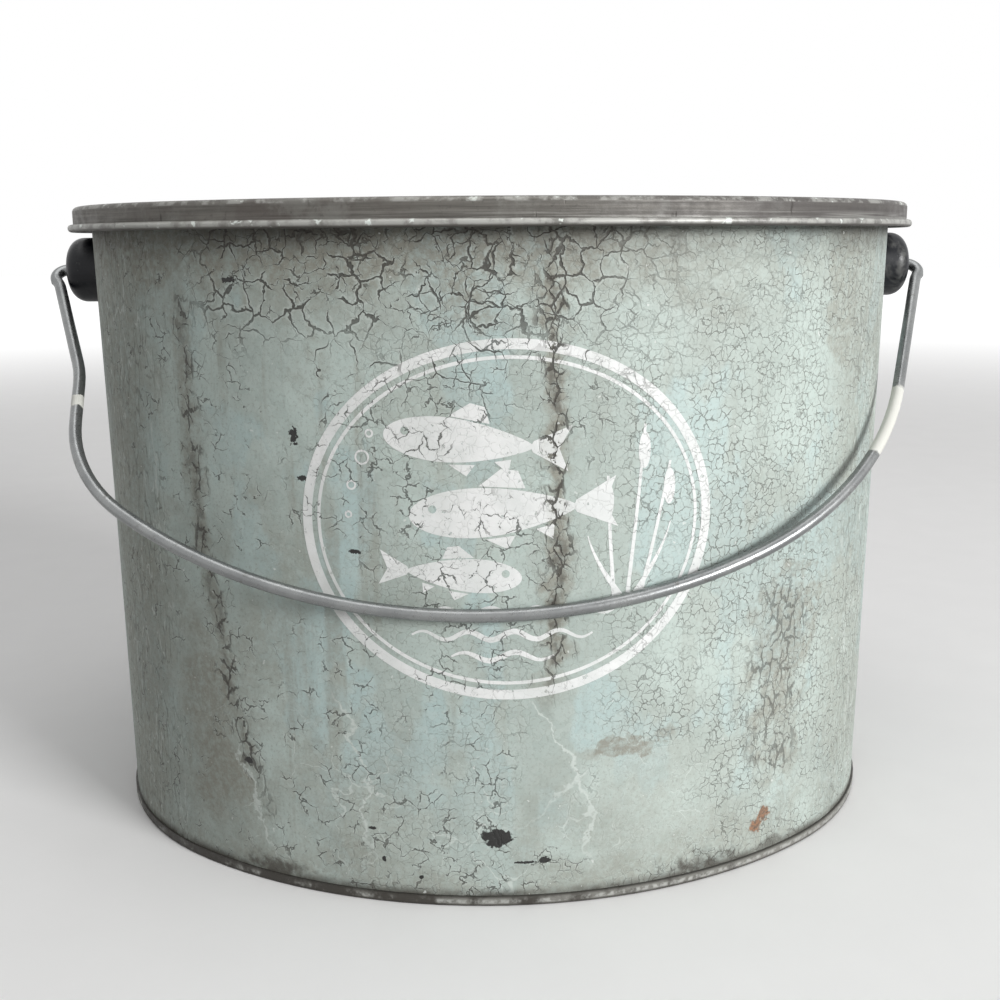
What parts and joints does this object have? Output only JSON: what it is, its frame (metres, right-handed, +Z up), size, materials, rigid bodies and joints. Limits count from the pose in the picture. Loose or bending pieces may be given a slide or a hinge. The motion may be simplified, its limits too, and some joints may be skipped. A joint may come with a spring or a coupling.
{
  "type": "minnow bucket",
  "caption": "Oval sheet-metal minnow bucket with a wire bail and a lift-out float liner that has a recessed deck, hinged door and perforated basket.",
  "frame": {"origin": "on the ground under the middle of the pail", "axes": "+X along the pail's length towards its right ear, +Z up, the bail resting against the -Y side"},
  "size_m": [0.274, 0.2116, 0.1812],
  "materials": {
    "pail_paint": "old grey-green paint, crazed and stained",
    "seam_metal": "worn paint over a double seam",
    "ear_enamel": "black enamel, rubbed",
    "bail_steel": "dull galvanised wire",
    "deck_paint": "dark worn paint",
    "galvanised": "dull galvanised sheet",
    "hinge_steel": "tarnished steel"
  },
  "bodies": {
    "pail": {"pail_wall": "pail_paint", "pail_rim_wire": "galvanised", "pail_bottom": "seam_metal", "left_bail_ear": "ear_enamel", "right_bail_ear": "ear_enamel"},
    "bail": {"bail_wire": "bail_steel"},
    "liner": {"liner_deck": "deck_paint", "tank_wall": "galvanised", "tank_sleeve": "galvanised", "tank_floor": "galvanised", "basket_wall": "galvanised", "basket_bottom": "galvanised", "deck_hinge_leaf": "hinge_steel", "hinge_pin": "hinge_steel", "left_lift_clip": "hinge_steel", "right_lift_clip": "hinge_steel"},
    "door": {"door_panel": "deck_paint", "door_hinge_leaf": "hinge_steel", "door_leaf_rivets": "hinge_steel", "door_knob": "ear_enamel"},
    "lift_handle": {"lift_bail": "bail_steel"}
  },
  "joints": [
    {"name": "bail_swing", "type": "hinge", "parent": "pail", "child": "bail", "pos_m": [0, 0, 0.163], "axis": [-1, 0, 0], "range_deg": [0, 257.5]},
    {"name": "liner_lift", "type": "slide", "parent": "pail", "child": "liner", "axis": [0, 0, 1], "range_m": [0, 0.19]},
    {"name": "door_swing", "type": "hinge", "parent": "liner", "child": "door", "pos_m": [0, 0.0548, 0.1735], "axis": [-1, 0, 0], "range_deg": [0, 105]},
    {"name": "lift_swing", "type": "hinge", "parent": "liner", "child": "lift_handle", "pos_m": [0, 0, 0.1736], "axis": [-1, 0, 0], "range_deg": [0, 180]}
  ]
}
